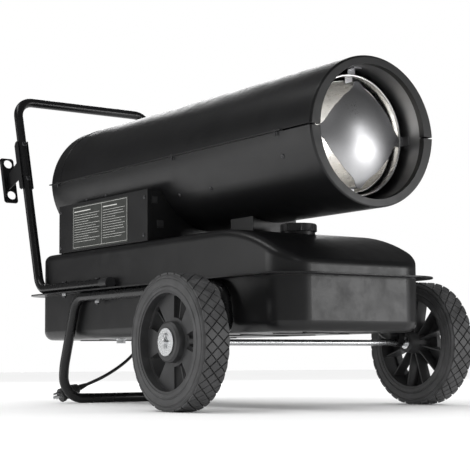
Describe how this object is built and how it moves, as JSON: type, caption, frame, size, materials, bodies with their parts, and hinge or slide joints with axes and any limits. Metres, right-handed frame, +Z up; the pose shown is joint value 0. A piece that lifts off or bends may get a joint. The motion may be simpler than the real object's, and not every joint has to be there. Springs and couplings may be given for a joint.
{
  "type": "forced-air kerosene heater",
  "caption": "Portable forced-air kerosene heater: round blower barrel over a long fuel tank, with a tube handle, a side control box, and wheels.",
  "frame": {"origin": "on the floor under the middle of the machine's bounding box", "axes": "+X towards the hot-air outlet, +Y to the operator's left, the control panel's side, +Z up"},
  "size_m": [1.1476, 0.674, 0.748],
  "materials": {
    "black_coat": "satin black powder coat on folded and rolled steel sheet",
    "frame_coat": "semi-gloss black powder coat on bent steel tube",
    "liner_steel": "dull aluminised sheet",
    "bright_steel": "bright heat-tinted stainless sheet",
    "deflector_steel": "satin pressed stainless plate",
    "zinc": "bright zinc plate",
    "dark_screw": "black oxide screws",
    "brass": "machined brass",
    "copper_line": "drawn copper pipe",
    "motor_case": "painted cast motor body",
    "machined_steel": "turned steel",
    "fan_aluminium": "stamped aluminium",
    "pump_casting": "die-cast aluminium",
    "carbon": "moulded carbon vanes and rotor",
    "white_ceramic": "glazed ceramic sleeve",
    "black_plastic": "moulded black plastic",
    "gloss_black": "polished black plastic",
    "filter_felt": "wool felt and clear case",
    "lamp_lens": "tinted lamp lens",
    "gauge_face": "gauge case with a pale dial",
    "board_green": "solder-masked board",
    "plate_film": "printed plate, plain dark olive grey",
    "wheel_plastic": "glass-filled black nylon wheel",
    "tyre_rubber": "solid black rubber tyre",
    "lead_rubber": "black rubber lead and moulded plug"
  },
  "bodies": {
    "heater": {"upper_shell": "black_coat", "lower_shell": "black_coat", "sheet_screws": "dark_screw", "nose_liner": "liner_steel", "combustion_chamber": "bright_steel", "chamber_liner": "bright_steel", "flame_deflector": "deflector_steel", "chamber_straps": "deflector_steel", "burner_head": "bright_steel", "nozzle": "brass", "igniter": "white_ceramic", "photocell": "black_plastic", "motor": "motor_case", "motor_bracket": "liner_steel", "pump_body": "pump_casting", "pump_cover": "pump_casting", "pressure_gauge": "gauge_face", "air_line": "copper_line", "fuel_line": "copper_line", "fuel_filter": "filter_felt", "rear_guard": "frame_coat", "tank_upper": "black_coat", "tank_lower": "black_coat", "filler_neck": "liner_steel", "filler_strainer": "liner_steel", "drain_plug": "zinc", "front_bracket": "black_coat", "control_housing": "black_coat", "side_cover": "black_coat", "control_panel": "black_coat", "knockout_plugs": "black_plastic", "info_plate": "plate_film", "circuit_board": "board_green", "ignition_transformer": "black_plastic", "switch_frame": "gloss_black", "thermostat": "machined_steel", "status_lamp": "lamp_lens", "strain_relief": "black_plastic", "power_cord": "lead_rubber", "power_plug": "lead_rubber", "wheel_frame": "frame_coat", "axle": "zinc", "axle_saddles": "frame_coat", "axle_washers": "zinc", "cotter_pins": "zinc", "handle": "frame_coat", "handle_caps": "black_plastic", "frame_bolts": "zinc", "frame_nuts": "zinc", "cord_wrap": "black_coat"},
    "rotor": {"fan": "fan_aluminium", "motor_shaft": "machined_steel", "pump_rotor": "carbon"},
    "filler_cap": {"fuel_cap": "black_plastic"},
    "knob": {"thermostat_knob": "black_plastic"},
    "rocker": {"power_rocker": "gloss_black"},
    "left_wheel": {"left_rim": "wheel_plastic", "left_tyre": "tyre_rubber"},
    "right_wheel": {"right_rim": "wheel_plastic", "right_tyre": "tyre_rubber"}
  },
  "joints": [
    {"name": "left_wheel_spin", "type": "hinge", "parent": "heater", "child": "left_wheel", "pos_m": [0.3678, 0.301, 0.127], "axis": [0, 1, 0], "continuous": true},
    {"name": "right_wheel_spin", "type": "hinge", "parent": "heater", "child": "right_wheel", "pos_m": [0.3678, -0.301, 0.127], "axis": [0, 1, 0], "continuous": true},
    {"name": "rotor_spin", "type": "hinge", "parent": "heater", "child": "rotor", "pos_m": [-0.2322, 0, 0.517], "axis": [1, 0, 0], "continuous": true},
    {"name": "cap_turn", "type": "hinge", "parent": "heater", "child": "filler_cap", "pos_m": [0.3438, 0, 0.355], "axis": [0, 0, 1], "range_deg": [0, 75]},
    {"name": "thermostat_turn", "type": "hinge", "parent": "heater", "child": "knob", "pos_m": [-0.1922, 0.1686, 0.402], "axis": [0, 1, 0], "range_deg": [0, 270]},
    {"name": "rocker_tilt", "type": "hinge", "parent": "heater", "child": "rocker", "pos_m": [-0.0822, 0.168, 0.402], "axis": [1, 0, 0], "range_deg": [-18, 0]}
  ]
}
